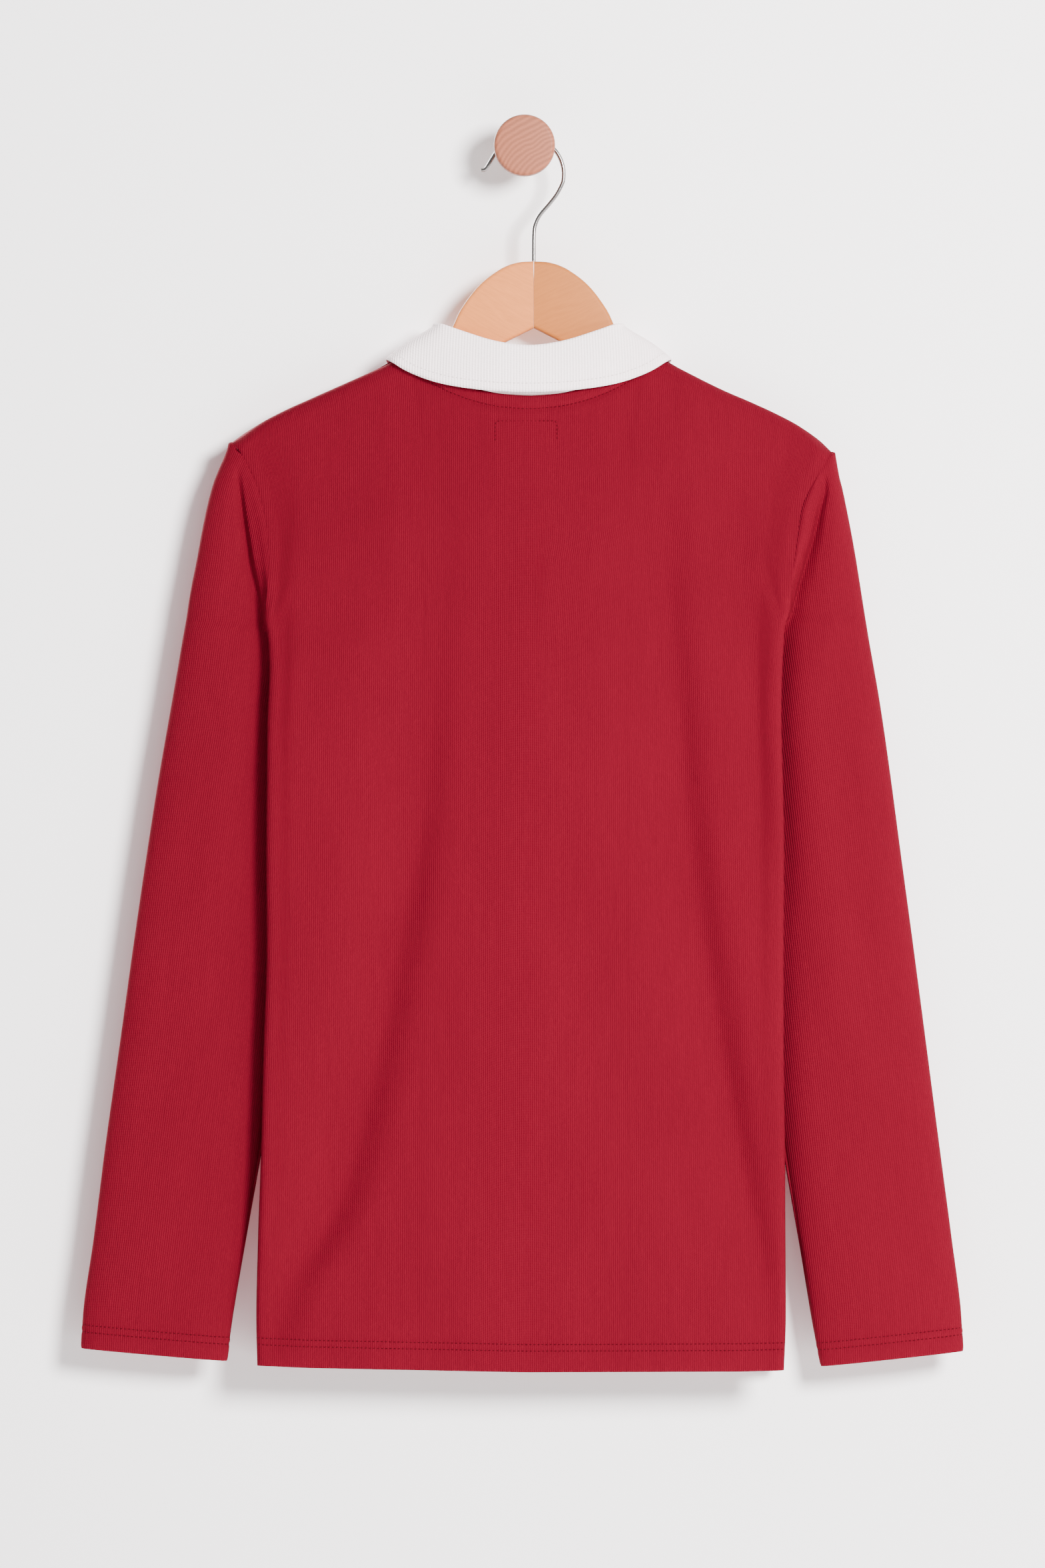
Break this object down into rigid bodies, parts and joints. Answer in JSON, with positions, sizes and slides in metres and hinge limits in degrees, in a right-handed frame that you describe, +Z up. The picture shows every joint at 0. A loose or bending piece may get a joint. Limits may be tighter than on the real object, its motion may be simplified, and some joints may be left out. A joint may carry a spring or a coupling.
{
  "type": "quarter-zip top on a hanger and wall peg",
  "caption": "Long-sleeved knitted top with a turned-down rib collar and a short front zip, hung by a wooden hanger on a round wall peg, its back to the room",
  "frame": {"origin": "centre of the wall peg where it meets the wall", "axes": "+Z up, +Y into the wall, +X to the right of someone who looks at the top's back; the back of the top faces -Y"},
  "size_m": [0.6236, 0.061, 0.8856],
  "materials": {
    "knit": "matte fine-rib knit, red",
    "rib": "matte rib knit, white",
    "tape": "woven zip tape, red",
    "zip_metal": "satin metal",
    "hanger_wood": "fine sanded, clear matte",
    "hook_steel": "polished steel wire",
    "peg_wood": "end grain, clear matte"
  },
  "bodies": {
    "top_on_hanger": {"back_panel": "knit", "front_panel": "knit", "sleeve_left": "knit", "sleeve_right": "knit", "collar": "rib", "zip_tape_left": "tape", "zip_tape_right": "tape", "zip_slider": "zip_metal", "hanger_arm_left": "hanger_wood", "hanger_arm_right": "hanger_wood", "hanger_hook": "hook_steel", "wall_peg": "peg_wood"},
    "pull_tab": {"zip_pull": "zip_metal"}
  },
  "joints": [
    {"name": "pull_tab_hinge", "type": "hinge", "parent": "top_on_hanger", "child": "pull_tab", "pos_m": [0.003, -0.01465, -0.24], "axis": [1, 0, 0], "range_deg": [0, 150]}
  ]
}
